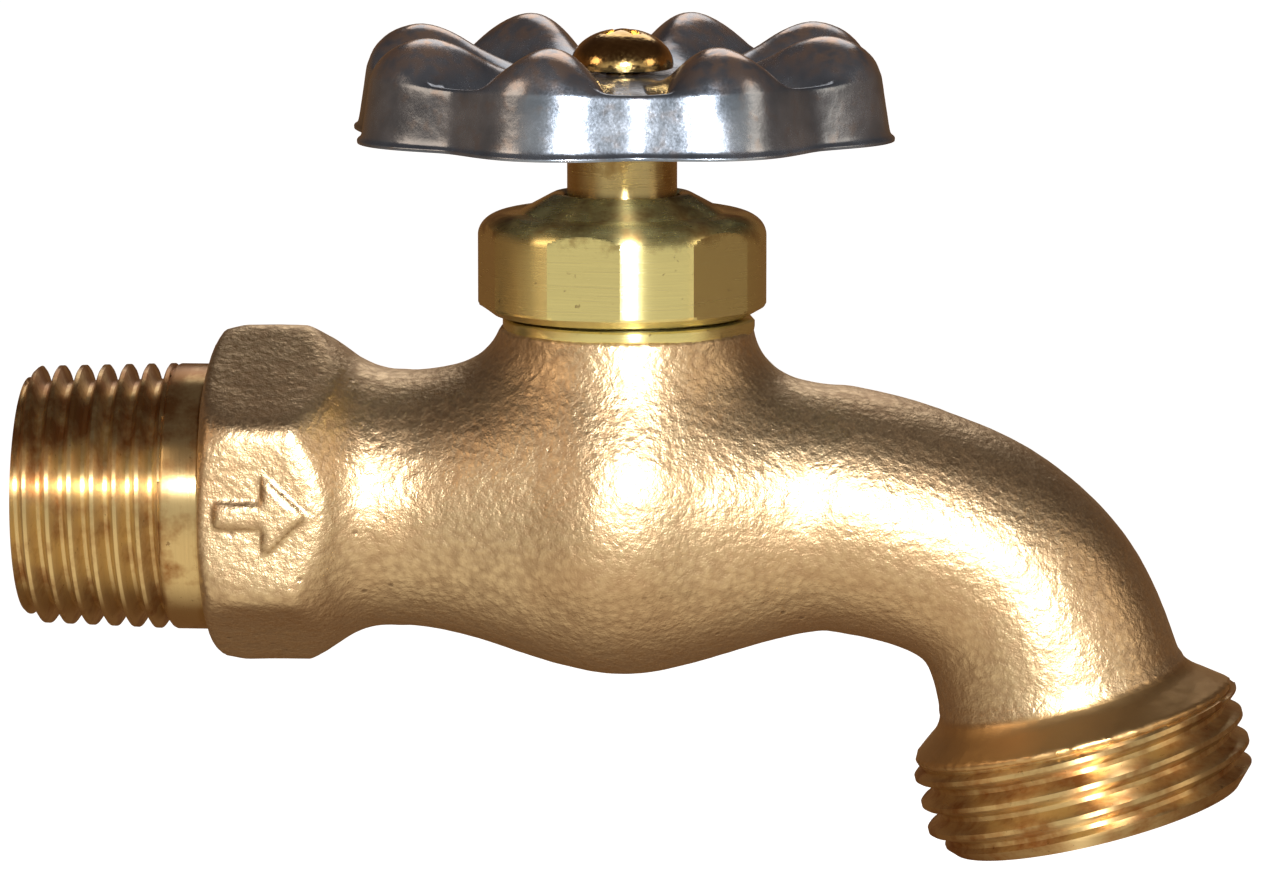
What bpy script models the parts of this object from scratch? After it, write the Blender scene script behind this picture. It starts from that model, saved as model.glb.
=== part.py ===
"""Compression hose bib: male pipe inlet, globe body, bent spout with a hose thread, and a handwheel.

Every solid stands in one frame.  The origin is the middle of the inlet's end face, +X runs from the
inlet towards the spout, and +Z runs up the stem.  Sizes below are in millimetres, meshes in metres.
"""
import math

import bmesh
import bpy
from mathutils import Matrix, Vector

MM = 0.001
GAP = 0.3                      # clearance between neighbouring pieces
END_SNAP = 0.05                # a thread's points this near to its ends lie on them

# Inlet: 1/2-14 NPT male thread, then a wrench hexagon
PIPE_PITCH = 25.4 / 14.0
PIPE_END_R = 10.36             # crest radius at the small end
PIPE_TAPER = 1.0 / 32.0        # growth of the radius along the thread
PIPE_DEPTH = 1.15
PIPE_LENGTH = 12.2
PIPE_CHAMFER = 1.0
PIPE_START = 0.5               # where the thread starts, in turns
COLLAR_R = 10.72
HEX_START = 15.2
HEX_FLAT_END = 23.6
HEX_END = 29.2
HEX_APOTHEM = 12.15            # half of the distance across flats
HEX_CORNER = 13.75
INLET_BORE_R = 6.6

# Body casting
STEM_X = 48.2                  # stem axis, measured from the inlet face
ARM_R = 10.4
SPOUT_R = 9.9                  # where the spout leaves the globe
GLOBE_HALF_LENGTH = 17.0
GLOBE_SWELL_Z = 3.6
GLOBE_SWELL_Y = 3.1
NECK_R = 10.0
NECK_SHIFT = 0.45              # the cast neck stands a little towards the spout
NECK_BAND_Z = 15.0

# Outlet: 3/4-11.5 hose thread on a tilted axis
HOSE_PITCH = 25.4 / 11.5
HOSE_CREST_R = 13.4
HOSE_DEPTH = 1.15
HOSE_LENGTH = 7.8
HOSE_CHAMFER = 0.9
HOSE_START = 0.0
OUTLET_TILT = math.radians(14.5)
OUTLET_SHOULDER = (STEM_X + 36.35, -17.6)
SHOULDER_R = 13.0
OUTLET_BORE_R = 8.6

# Valve seat and stem; the stem's thread sets how far it rises for each turn
SEAT_Z = -2.0
SEAT_PORT_R = 4.1
SEAT_RING_R = 6.0
CHAMBER_R = 7.8
DECK_Z = -5.2
STEM_PITCH = 2.54
STEM_THREAD_R = 6.6
STEM_THREAD_DEPTH = 0.75
STEM_THREAD_Z = (3.2, 9.2)
BODY_THREAD_Z = (5.6, 13.0)
SHANK_R = 4.4
STEM_TOP_Z = 33.6

# Packing nut and what it holds
NECK_TOP_Z = 17.6
NUT_THREAD_R = 9.0
NUT_THREAD_DEPTH = 0.65
NUT_PITCH = 25.4 / 18.0
NUT_THREAD_START = 1.0         # depth below the neck's band at which both threads start
NUT_Z = (15.3, 23.4)
NUT_APOTHEM = 11.15            # half of the distance across flats
NUT_CORNER = 11.55             # round parts between the flats
NUT_TURN = math.radians(-11.2)
BOSS_TOP_Z = 25.0

# Handwheel: eight lobes on a dished disc
WHEEL_Z = 29.7                 # bottom edge
LOBES = 8
WHEEL_TURN = math.radians(8.0)
LOBE_PEAK_Z = 8.5
HUB_TOP_Z = 4.9
HUB_R = 6.2
SCREW_HEAD_R = 4.1
SCREW_HEAD_H = 3.2


# ---------------------------------------------------------------- helpers

def clear_scene():
    for old in list(bpy.data.objects):
        bpy.data.objects.remove(old, do_unlink=True)


def material(name, colour, metallic, roughness):
    mat = bpy.data.materials.new(name)
    mat.use_nodes = True
    shader = mat.node_tree.nodes["Principled BSDF"]
    shader.inputs["Base Color"].default_value = (*colour, 1.0)
    shader.inputs["Metallic"].default_value = metallic
    shader.inputs["Roughness"].default_value = roughness
    mat.diffuse_color = (*colour, 1.0)
    return mat


def new_object(name, bm, mat=None, origin=(0.0, 0.0, 0.0)):
    """Turn a bmesh in millimetres into an object whose origin is the given point, in metres."""
    bmesh.ops.remove_doubles(bm, verts=bm.verts, dist=0.002)
    bmesh.ops.triangulate(bm, faces=[face for face in bm.faces if len(face.verts) == 4])
    bmesh.ops.recalc_face_normals(bm, faces=bm.faces)
    shift = Matrix.Translation(-Vector(origin))
    bmesh.ops.transform(bm, matrix=Matrix.Scale(MM, 4) @ shift, verts=bm.verts)
    mesh = bpy.data.meshes.new(name)
    bm.to_mesh(mesh)
    bm.free()
    obj = bpy.data.objects.new(name, mesh)
    obj.location = Vector(origin) * MM
    bpy.context.scene.collection.objects.link(obj)
    if mat:
        mesh.materials.append(mat)
    mesh.shade_smooth()
    mesh.set_sharp_from_angle(angle=math.radians(35.0))
    return obj


def combine(target, tool, operation, solver="EXACT"):
    """Add or cut a tool with a Boolean; the tool stays as a hidden guide."""
    modifier = target.modifiers.new(operation.lower() + "_" + tool.name, "BOOLEAN")
    modifier.operation = operation
    modifier.solver = solver
    modifier.object = tool
    tool.hide_render = True
    tool.display_type = "WIRE"


def loft(rings, closed_ends=True):
    """Skin a list of rings, each a list of the same number of points."""
    bm = bmesh.new()
    rows = [[bm.verts.new(point) for point in ring] for ring in rings]
    count = len(rows[0])
    for low, high in zip(rows, rows[1:]):
        for i in range(count):
            j = (i + 1) % count
            bm.faces.new((low[i], low[j], high[j], high[i]))
    if closed_ends:
        bm.faces.new(rows[0])
        bm.faces.new(rows[-1])
    return bm


def ring_points(centre, side, up, radius_side, radius_up, count):
    points = []
    for i in range(count):
        angle = 2.0 * math.pi * i / count
        points.append(centre + side * (radius_side * math.cos(angle)) + up * (radius_up * math.sin(angle)))
    return points


def turned(profile, axis_x=STEM_X, count=32):
    """Solid of revolution about a vertical axis, from (radius, z) pairs; a zero radius ends in a point."""
    centre = Vector((axis_x, 0.0, 0.0))
    rings = []
    for radius, z in profile:
        middle = centre + Vector((0.0, 0.0, z))
        rings.append(ring_points(middle, Vector((1, 0, 0)), Vector((0, 1, 0)), radius, radius, count))
    return loft(rings)


def turned_ring(profile, count=32):
    """Solid of revolution of a closed (radius, z) outline that stays clear of the stem axis."""
    bm = bmesh.new()
    rows = []
    for i in range(count):
        angle = 2.0 * math.pi * i / count
        rows.append([bm.verts.new((STEM_X + r * math.cos(angle), r * math.sin(angle), z)) for r, z in profile])
    for i in range(count):
        here, there = rows[i], rows[(i + 1) % count]
        for k in range(len(profile)):
            n = (k + 1) % len(profile)
            bm.faces.new((here[k], here[n], there[n], there[k]))
    return bm


def thread(length, pitch, depth, crest_radius, end_radius, tail_radius, count=32, crest=0.2, turn=0.0):
    """Threaded rod along +Z from z = 0 to z = length, right-handed, its start turned by a part of a turn.

    The rows of points follow the helix, so crests and roots stay sharp.  The thread fades to
    end_radius at z = 0 and to tail_radius at z = length.
    """
    phases = (0.0, 0.5 - crest / 2.0, 0.5 + crest / 2.0, 1.0 - crest / 2.0)
    heights = (0.0, 1.0, 1.0, 0.0)
    per_turn = len(phases)
    turns = int(math.ceil(length / pitch)) + 1
    bm = bmesh.new()
    rows = []
    for k in range(turns * per_turn + 1):
        row = []
        for i in range(count + 1):
            z = (k // per_turn + phases[k % per_turn] + i / count - 1.0) * pitch
            radius = crest_radius(z) - depth * (1.0 - heights[k % per_turn])
            if z < END_SNAP:
                z, radius = 0.0, end_radius
            elif z > length - END_SNAP:
                z, radius = length, tail_radius
            radius = min(radius, end_radius + z)
            angle = 2.0 * math.pi * (i / count + turn)
            row.append((radius * math.cos(angle), radius * math.sin(angle), z))
        rows.append(row)
    grid = [[bm.verts.new(point) for point in row[:-1]] for row in rows]
    for k in range(len(rows) - 1):
        for i in range(count - 1):
            bm.faces.new((grid[k][i], grid[k][i + 1], grid[k + 1][i + 1], grid[k + 1][i]))
        last = count - 1
        ahead = min(k + per_turn, len(rows) - 1)
        beyond = min(k + 1 + per_turn, len(rows) - 1)
        if ahead != beyond:
            bm.faces.new((grid[k][last], grid[ahead][0], grid[beyond][0], grid[k + 1][last]))
        else:
            bm.faces.new((grid[k][last], grid[ahead][0], grid[k + 1][last]))
    bmesh.ops.remove_doubles(bm, verts=bm.verts, dist=0.004)
    for end in (0.0, length):
        rim = [v for v in bm.verts if abs(v.co.z - end) < 1e-4 and any(e.is_boundary for e in v.link_edges)]
        rim.sort(key=lambda v: math.atan2(v.co.y, v.co.x))
        bm.faces.new(rim)
    return bm


def placed(bm, direction, start):
    """Turn a solid built along +Z so that it runs along a direction from a start point."""
    turn = Vector((0, 0, 1)).rotation_difference(Vector(direction)).to_matrix().to_4x4()
    bmesh.ops.transform(bm, matrix=Matrix.Translation(Vector(start)) @ turn, verts=bm.verts)
    return bm


# ---------------------------------------------------------------- body casting

def outlet_axis():
    """Unit direction in which the hose thread points."""
    return Vector((math.sin(OUTLET_TILT), 0.0, -math.cos(OUTLET_TILT)))


def outlet_point(distance):
    """Point on the outlet's axis, counted from the shoulder towards the mouth."""
    x, z = OUTLET_SHOULDER
    return Vector((x, 0.0, z)) + outlet_axis() * distance


def spout_line(count):
    """Centre line of the bent spout: a cubic from the globe's side to just above the outlet shoulder."""
    start = Vector((STEM_X + 17.0, 0.0, -0.3))
    end = outlet_point(-3.0) - Vector((0.25, 0.0, 0.0))
    first = start + Vector((13.0, 0.0, -2.2))
    second = end - outlet_axis() * 8.6
    stations = []
    for i in range(1, count + 1):
        t = i / count
        u = 1.0 - t
        point = start * u**3 + first * (3 * u * u * t) + second * (3 * u * t * t) + end * t**3
        slope = (first - start) * (3 * u * u) + (second - first) * (6 * u * t) + (end - second) * (3 * t * t)
        stations.append((point, slope.normalized()))
    return stations


def casting_outer():
    """Arm, globe and spout as one lofted skin of round sections."""
    side = Vector((0, 1, 0))
    rings = []
    first_x = HEX_START + 3.0
    arm_steps = 16
    last_x = STEM_X + GLOBE_HALF_LENGTH
    for i in range(arm_steps + 1):
        x = first_x + (last_x - first_x) * i / arm_steps
        reach = min(abs(x - STEM_X) / GLOBE_HALF_LENGTH, 1.0)
        swell = math.cos(0.5 * math.pi * reach) ** 1.7
        along = (x - first_x) / (last_x - first_x)
        radius = ARM_R + (SPOUT_R - ARM_R) * along
        centre = Vector((x, 0.0, 0.1 - 0.4 * along))
        rings.append(ring_points(centre, side, Vector((0, 0, 1)), radius + GLOBE_SWELL_Y * swell,
                                 radius + GLOBE_SWELL_Z * swell, 32))
    steps = 12
    for i, (point, slope) in enumerate(spout_line(steps)):
        radius = SPOUT_R - 0.5 * math.sin(math.pi * (i + 1) / steps)
        up = slope.cross(side)
        rings.append(ring_points(point, side, up, radius, radius, 32))
    for distance, radius in ((-1.6, 10.6), (-0.4, 12.2), (0.0, SHOULDER_R), (0.6, SHOULDER_R)):
        up = outlet_axis().cross(side)
        rings.append(ring_points(outlet_point(distance), side, up, radius, radius, 32))
    return loft(rings)


def hexagon(apothem, corner):
    """Angles and radii of a hexagon whose corners, the first at angle 0, are turned down to a radius."""
    points = []
    for side in range(6):
        for offset in (-29.0, -22.0, -15.0, -5.0, 5.0, 15.0, 22.0, 29.0):
            radius = apothem / math.cos(math.radians(offset))
            points.append((math.radians(60.0 * side + 30.0 + offset), min(radius, corner)))
    return points


def wrench_hexagon():
    """Hexagon on the inlet arm, with turned-down corners and a tapered back."""
    stations = (
        (HEX_START, HEX_APOTHEM - 0.35, 11.7),
        (HEX_START + 1.0, HEX_APOTHEM, 12.9),
        (HEX_START + 2.6, HEX_APOTHEM, HEX_CORNER),
        (HEX_FLAT_END - 1.6, HEX_APOTHEM, HEX_CORNER),
        (HEX_FLAT_END, HEX_APOTHEM, 13.4),
        (HEX_FLAT_END + 2.4, 11.2, 11.8),
        (HEX_END, ARM_R - 0.15, ARM_R - 0.15),
    )
    rings = []
    for x, apothem, corner in stations:
        ring = []
        for angle, radius in hexagon(apothem, corner):
            ring.append(Vector((x, radius * math.sin(angle), radius * math.cos(angle))))
        rings.append(ring)
    return loft(rings)


def flow_arrow():
    """Raised arrow on the hexagon's front flat, pointing the way the water runs."""
    outline = ((-3.6, -1.0), (0.2, -1.0), (0.2, -3.3), (3.8, 0.0), (0.2, 3.3), (0.2, 1.0), (-3.6, 1.0))
    middle_x = 0.5 * (HEX_START + 2.0 + HEX_FLAT_END)
    rings = []
    for y in (-HEX_APOTHEM - 0.4, -HEX_APOTHEM + 0.6):
        rings.append([Vector((middle_x + x, y, z)) for x, z in outline])
    return loft(rings)


def inlet_thread():
    rod = thread(PIPE_LENGTH, PIPE_PITCH, PIPE_DEPTH, lambda z: PIPE_END_R + PIPE_TAPER * z,
                 PIPE_END_R - PIPE_CHAMFER, COLLAR_R - 0.6, turn=PIPE_START)
    return placed(rod, (1, 0, 0), (0, 0, 0))


def inlet_collar():
    side, up = Vector((0, 1, 0)), Vector((0, 0, 1))
    rings = []
    for x in (PIPE_LENGTH - 0.4, HEX_START + 0.5):
        rings.append(ring_points(Vector((x, 0, 0)), side, up, COLLAR_R, COLLAR_R, 32))
    return loft(rings)


def hose_thread():
    """Hose thread from its mouth back to the shoulder."""
    rod = thread(HOSE_LENGTH, HOSE_PITCH, HOSE_DEPTH, lambda z: HOSE_CREST_R,
                 HOSE_CREST_R - HOSE_CHAMFER, HOSE_CREST_R - HOSE_DEPTH, turn=HOSE_START)
    return placed(rod, -outlet_axis(), outlet_point(HOSE_LENGTH))


def neck():
    """Turned neck that the packing nut screws onto."""
    profile = ((0.0, 0.0), (10.6, 0.0), (10.6, 9.5), (NECK_R, 11.5), (NECK_R, NECK_BAND_Z), (0.0, NECK_BAND_Z))
    return turned(profile, STEM_X + NECK_SHIFT)


def neck_thread():
    low = NECK_BAND_Z - NUT_THREAD_START
    root = NUT_THREAD_R - NUT_THREAD_DEPTH
    rod = thread(NECK_TOP_Z - low, NUT_PITCH, NUT_THREAD_DEPTH, lambda z: NUT_THREAD_R, root, root, count=24)
    return placed(rod, (0, 0, 1), (STEM_X, 0, low))


def inlet_water_way():
    """Bore of the inlet, dipping under the seat's deck."""
    side = Vector((0, 1, 0))
    stations = ((-1.0, 0.0, INLET_BORE_R), (STEM_X - 24.0, 0.0, INLET_BORE_R), (STEM_X - 15.0, -1.4, 6.2),
                (STEM_X - 9.0, -5.0, 5.2), (STEM_X - 3.0, -7.6, 3.4))
    rings = []
    for x, z, radius in stations:
        rings.append(ring_points(Vector((x, 0.0, z)), side, Vector((0, 0, 1)), radius, radius, 24))
    return loft(rings)


def lower_chamber():
    profile = ((0.0, -11.4), (3.6, -11.2), (6.2, -9.6), (7.4, -7.6), (7.4, DECK_Z), (SEAT_PORT_R, DECK_Z),
               (SEAT_PORT_R, SEAT_Z + 1.0), (0.0, SEAT_Z + 1.0))
    return turned(profile, count=24)


def upper_chamber():
    """Space above the deck with the raised seat ring standing in it, up to the stem's thread."""
    floor = SEAT_Z - 0.9
    profile = ((0.0, SEAT_Z), (SEAT_RING_R, SEAT_Z), (SEAT_RING_R + 0.3, floor), (CHAMBER_R, floor),
               (CHAMBER_R, BODY_THREAD_Z[0] - 1.2), (5.9, BODY_THREAD_Z[0] + 0.2), (0.0, BODY_THREAD_Z[0] + 0.2))
    return turned(profile, count=24)


def stem_thread_hole():
    """Internal thread that the stem climbs; it shares its start with the stem's own thread."""
    low = BODY_THREAD_Z[0] - 0.2
    turns_below = math.floor((low - STEM_THREAD_Z[0]) / STEM_PITCH)
    start = STEM_THREAD_Z[0] + turns_below * STEM_PITCH
    crest = STEM_THREAD_R + GAP
    rod = thread(BODY_THREAD_Z[1] + 0.5 - start, STEM_PITCH, STEM_THREAD_DEPTH, lambda z: crest,
                 crest - STEM_THREAD_DEPTH, crest - STEM_THREAD_DEPTH, count=24)
    return placed(rod, (0, 0, 1), (STEM_X, 0, start))


def neck_bore():
    top_r = STEM_THREAD_R + GAP + 0.1
    return turned(((0.0, BODY_THREAD_Z[1]), (top_r, BODY_THREAD_Z[1]), (top_r, NECK_TOP_Z + 1.0),
                   (0.0, NECK_TOP_Z + 1.0)), count=24)


def spout_water_way():
    """Bore from the chamber's side round the bend and out of the mouth."""
    side = Vector((0, 1, 0))
    rings = []
    for x, z, radius in ((STEM_X + 4.5, 0.9, 3.3), (STEM_X + 9.0, 0.6, 5.0), (STEM_X + 15.0, -0.3, 7.0)):
        rings.append(ring_points(Vector((x, 0.0, z)), side, Vector((0, 0, 1)), radius, radius, 24))
    for i, (point, slope) in enumerate(spout_line(9)):
        rings.append(ring_points(point, side, slope.cross(side), 7.3, 7.3, 24))
    for distance, radius in ((-1.0, 7.4), (1.0, OUTLET_BORE_R), (HOSE_LENGTH + 1.0, OUTLET_BORE_R)):
        rings.append(ring_points(outlet_point(distance), side, outlet_axis().cross(side), radius, radius, 24))
    return loft(rings)


# The exact solver leaves slivers open where a thread's fine rows cross the casting, and this one doesn't
BODY_SOLVER = "MANIFOLD"


def build_valve_body(bronze):
    body = new_object("valve_body", casting_outer(), bronze)
    additions = {"hexagon": wrench_hexagon, "arrow": flow_arrow, "collar": inlet_collar,
                 "pipe_thread": inlet_thread, "hose_thread": hose_thread, "neck": neck,
                 "nut_thread": neck_thread}
    for name, make in additions.items():
        combine(body, new_object("add_" + name, make()), "UNION", BODY_SOLVER)
    hollows = {"inlet": inlet_water_way, "lower": lower_chamber, "upper": upper_chamber,
               "stem_thread": stem_thread_hole, "neck_bore": neck_bore, "spout": spout_water_way}
    for name, make in hollows.items():
        combine(body, new_object("cut_" + name, make()), "DIFFERENCE", BODY_SOLVER)
    return body


# ---------------------------------------------------------------- stem and washer

CUP_Z = SEAT_Z + 2.4            # underside of the stem's foot
WASHER_R = 5.1
FOOT_RIM = 0.35                 # wall of the cup round the washer


def seat_washer(rubber):
    low, high = SEAT_Z + GAP, CUP_Z - GAP + 0.4
    profile = ((2.4, low), (WASHER_R - 0.4, low), (WASHER_R, low + 0.4), (WASHER_R, high), (2.4, high))
    return new_object("seat_washer", turned_ring(profile), rubber, (STEM_X, 0, 0))


def stem_solid():
    """Foot with a cup for the washer, threaded barrel, plain shank and a square top."""
    cup_r = WASHER_R + GAP
    foot_top = STEM_THREAD_Z[0] - 0.6
    ceiling = CUP_Z + 0.4
    profile = ((0.0, ceiling), (cup_r, ceiling), (cup_r, CUP_Z - 0.9), (cup_r + FOOT_RIM, CUP_Z - 0.9),
               (cup_r + FOOT_RIM, foot_top - 0.4), (cup_r, foot_top), (5.2, foot_top), (5.2, STEM_THREAD_Z[0]),
               (5.2, STEM_THREAD_Z[1] + 0.8), (SHANK_R, STEM_THREAD_Z[1] + 1.8), (SHANK_R, WHEEL_Z + 1.6),
               (0.0, WHEEL_Z + 1.6))
    return turned(profile)


def stem_thread():
    length = STEM_THREAD_Z[1] - STEM_THREAD_Z[0]
    root = STEM_THREAD_R - STEM_THREAD_DEPTH
    rod = thread(length, STEM_PITCH, STEM_THREAD_DEPTH, lambda z: STEM_THREAD_R, root, root, count=24)
    return placed(rod, (0, 0, 1), (STEM_X, 0, STEM_THREAD_Z[0]))


def square_column(half_low, half_high, z_low, z_high):
    rings = []
    for half, z in ((half_low, z_low), (half_high, z_high)):
        ring = []
        for x, y in ((-1, -1), (1, -1), (1, 1), (-1, 1)):
            ring.append(Vector((STEM_X + x * half, y * half, z)))
        rings.append(ring)
    return loft(rings)


def round_hole(radius, z_low, z_high, count=16):
    return turned(((0.0, z_low), (radius, z_low), (radius, z_high), (0.0, z_high)), count=count)


def build_stem(brass):
    stem = new_object("stem", stem_solid(), brass, (STEM_X, 0, 0))
    combine(stem, new_object("add_stem_thread", stem_thread()), "UNION")
    square = square_column(2.95, 2.75, WHEEL_Z + 0.8, STEM_TOP_Z)
    combine(stem, new_object("add_stem_square", square), "UNION")
    combine(stem, new_object("cut_handle_screw_hole", round_hole(1.6, STEM_TOP_Z - 8.0, STEM_TOP_Z + 1.0)),
            "DIFFERENCE")
    combine(stem, new_object("cut_washer_screw_hole", round_hole(2.1, SEAT_Z - 1.0, CUP_Z + 5.0)), "DIFFERENCE")
    return stem


def washer_screw(brass):
    """Screw that holds the seat washer in the stem's cup; its head hangs in the seat port."""
    head_top = SEAT_Z
    profile = ((0.0, head_top - 1.9), (2.6, head_top - 1.9), (3.4, head_top - 1.4), (3.4, head_top),
               (1.8, head_top), (1.8, CUP_Z + 4.2), (0.0, CUP_Z + 4.2))
    screw = new_object("washer_screw", turned(profile, count=20), brass, (STEM_X, 0, 0))
    slot = bmesh.new()
    bmesh.ops.create_cube(slot, size=1.0)
    size = Matrix.Diagonal((8.0, 0.9, 1.4, 1.0))
    bmesh.ops.transform(slot, matrix=Matrix.Translation((STEM_X, 0, head_top - 2.0)) @ size, verts=slot.verts)
    combine(screw, new_object("cut_washer_screw_slot", slot), "DIFFERENCE")
    return screw


# ---------------------------------------------------------------- packing

PACK_INNER_R = SHANK_R + GAP


def packing_washer(brass):
    low = NECK_TOP_Z + GAP
    profile = ((PACK_INNER_R, low), (8.0, low), (8.0, low + 0.8), (PACK_INNER_R, low + 0.8))
    return new_object("packing_washer", turned_ring(profile), brass, (STEM_X, 0, 0))


def stem_packing(graphite):
    low = NECK_TOP_Z + GAP + 0.8 + GAP
    high = low + 1.7
    profile = ((PACK_INNER_R, low), (7.3, low), (7.6, low + 0.3), (7.6, high - 0.3), (7.3, high),
               (PACK_INNER_R, high))
    return new_object("stem_packing", turned_ring(profile), graphite, (STEM_X, 0, 0))


def packing_gland(brass):
    low = NECK_TOP_Z + GAP + 0.8 + GAP + 1.7 + GAP
    profile = ((PACK_INNER_R, low), (7.6, low), (7.6, low + 1.0), (PACK_INNER_R, low + 1.0))
    return new_object("packing_gland", turned_ring(profile), brass, (STEM_X, 0, 0))


def nut_blank():
    """Round nut with six flats milled on it, a domed shoulder and a raised conical boss."""
    stations = (
        (NUT_Z[0], 10.2, 10.2), (NUT_Z[0] + 0.75, NUT_APOTHEM, NUT_CORNER), (21.6, NUT_APOTHEM, NUT_CORNER),
        (22.3, NUT_APOTHEM - 0.05, 11.35), (22.9, 10.85, 10.85), (23.25, 10.1, 10.1), (NUT_Z[1], 9.0, 9.0),
        (NUT_Z[1], 8.3, 8.3), (NUT_Z[1] + 0.25, 8.1, 8.1), (BOSS_TOP_Z - 0.3, 5.5, 5.5), (BOSS_TOP_Z, 5.3, 5.3),
    )
    rings = []
    for z, apothem, corner in stations:
        ring = []
        for angle, radius in hexagon(apothem, corner):
            angle += NUT_TURN
            ring.append(Vector((STEM_X + radius * math.cos(angle), radius * math.sin(angle), z)))
        rings.append(ring)
    return loft(rings)


def nut_pocket():
    """Room in the nut for the gland and packing, and the hole for the shank."""
    ceiling = NECK_TOP_Z + GAP + 0.8 + GAP + 1.7 + GAP + 1.0 + GAP
    profile = ((0.0, NUT_Z[0] - 1.0), (NUT_THREAD_R - NUT_THREAD_DEPTH + GAP, NUT_Z[0] - 1.0),
               (NUT_THREAD_R - NUT_THREAD_DEPTH + GAP, ceiling - 0.5), (7.9, ceiling), (PACK_INNER_R, ceiling),
               (PACK_INNER_R, BOSS_TOP_Z + 1.0), (0.0, BOSS_TOP_Z + 1.0))
    return turned(profile)


def nut_thread_hole():
    crest = NUT_THREAD_R + GAP
    low = NECK_BAND_Z - NUT_THREAD_START
    root = crest - NUT_THREAD_DEPTH
    rod = thread(NECK_TOP_Z + 0.3 - low, NUT_PITCH, NUT_THREAD_DEPTH, lambda z: crest, root, root, count=24)
    return placed(rod, (0, 0, 1), (STEM_X, 0, low))


def build_packing_nut(brass):
    nut = new_object("packing_nut", nut_blank(), brass, (STEM_X, 0, 0))
    combine(nut, new_object("cut_nut_thread", nut_thread_hole()), "DIFFERENCE")
    combine(nut, new_object("cut_nut_pocket", nut_pocket()), "DIFFERENCE")
    return nut


# ---------------------------------------------------------------- handwheel

def blend(a, b, weight):
    return a + (b - a) * weight


def lobe_weight(angle):
    """1 on a lobe's crest and 0 in the valley between two lobes; a valley faces -Y."""
    phase = LOBES * (angle - WHEEL_TURN + 0.5 * math.pi)
    return (0.5 - 0.5 * math.cos(phase)) ** 1.15


# (radius, height above the bottom edge), from the hub out, over the rim and down the skirt
VALLEY_PROFILE = ((HUB_R, HUB_TOP_Z), (9.0, 4.4), (12.0, 4.0), (15.0, 4.3), (17.4, 4.9), (18.9, 5.0),
                  (19.6, 4.6), (19.8, 0.9), (20.5, 0.35), (20.5, 0.0))
LOBE_PROFILE = ((HUB_R, HUB_TOP_Z), (9.0, 5.2), (12.0, 6.4), (14.6, 8.0), (17.0, LOBE_PEAK_Z), (20.2, 7.2),
                (21.5, 4.9), (21.7, 1.2), (22.4, 0.4), (22.4, 0.0))
UNDER_VALLEY = ((7.2, 2.7), (12.0, 2.3), (16.6, 3.0), (17.9, 2.6), (18.4, 0.0))
UNDER_LOBE = ((7.2, 2.7), (12.0, 4.4), (16.0, 6.6), (18.8, 5.6), (20.0, 0.0))


def wheel_shell():
    """Dished disc with its lobes, closed below by its own underside and a hub boss."""
    count = 64
    rings = []

    def ring(valley, lobe):
        points = []
        for i in range(count):
            angle = 2.0 * math.pi * i / count
            weight = lobe_weight(angle)
            radius = blend(valley[0], lobe[0], weight)
            height = blend(valley[1], lobe[1], weight)
            points.append(Vector((STEM_X + radius * math.cos(angle), radius * math.sin(angle), WHEEL_Z + height)))
        return points

    hub_top = (0.001, HUB_TOP_Z)
    rings.append(ring(hub_top, hub_top))
    for valley, lobe in zip(VALLEY_PROFILE, LOBE_PROFILE):
        rings.append(ring(valley, lobe))
    for valley, lobe in zip(reversed(UNDER_VALLEY), reversed(UNDER_LOBE)):
        rings.append(ring(valley, lobe))
    for hub in ((HUB_R, 0.6), (0.001, 0.6)):
        rings.append(ring(hub, hub))
    return loft(rings)


def build_handwheel(gunmetal):
    wheel = new_object("handwheel", wheel_shell(), gunmetal, (STEM_X, 0, 0))
    shank_room = round_hole(SHANK_R + GAP, WHEEL_Z - 1.0, WHEEL_Z + 1.9, 24)
    socket = square_column(2.95 + GAP, 2.75 + GAP, WHEEL_Z + 1.4, STEM_TOP_Z + 0.1)
    combine(wheel, new_object("cut_wheel_shank_room", shank_room), "DIFFERENCE")
    combine(wheel, new_object("cut_wheel_socket", socket), "DIFFERENCE")
    combine(wheel, new_object("cut_wheel_screw_hole", round_hole(1.9, WHEEL_Z + 2.0, WHEEL_Z + 8.0)),
            "DIFFERENCE")
    return wheel


def handle_screw(brass):
    """Oval-head screw with a cross recess that clamps the wheel on the stem."""
    base = WHEEL_Z + HUB_TOP_Z + GAP
    profile = [(0.0, STEM_TOP_Z - 7.0), (1.3, STEM_TOP_Z - 7.0), (1.3, base), (SCREW_HEAD_R, base)]
    steps = 6
    for i in range(1, steps):
        angle = 0.5 * math.pi * i / steps
        profile.append((SCREW_HEAD_R * math.cos(angle), base + 0.5 + (SCREW_HEAD_H - 0.5) * math.sin(angle)))
    profile.append((0.0, base + SCREW_HEAD_H))
    screw = new_object("handle_screw", turned(profile, count=24), brass, (STEM_X, 0, 0))
    for name, turn in (("a", 0.25 * math.pi), ("b", 0.75 * math.pi)):
        arm = bmesh.new()
        bmesh.ops.create_cube(arm, size=1.0)
        size = Matrix.Diagonal((4.4, 0.9, 3.0, 1.0))
        place = Matrix.Translation((STEM_X, 0, base + SCREW_HEAD_H)) @ Matrix.Rotation(turn, 4, "Z")
        bmesh.ops.transform(arm, matrix=place @ size, verts=arm.verts)
        combine(screw, new_object("cut_recess_" + name, arm), "DIFFERENCE")
    return screw


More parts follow.
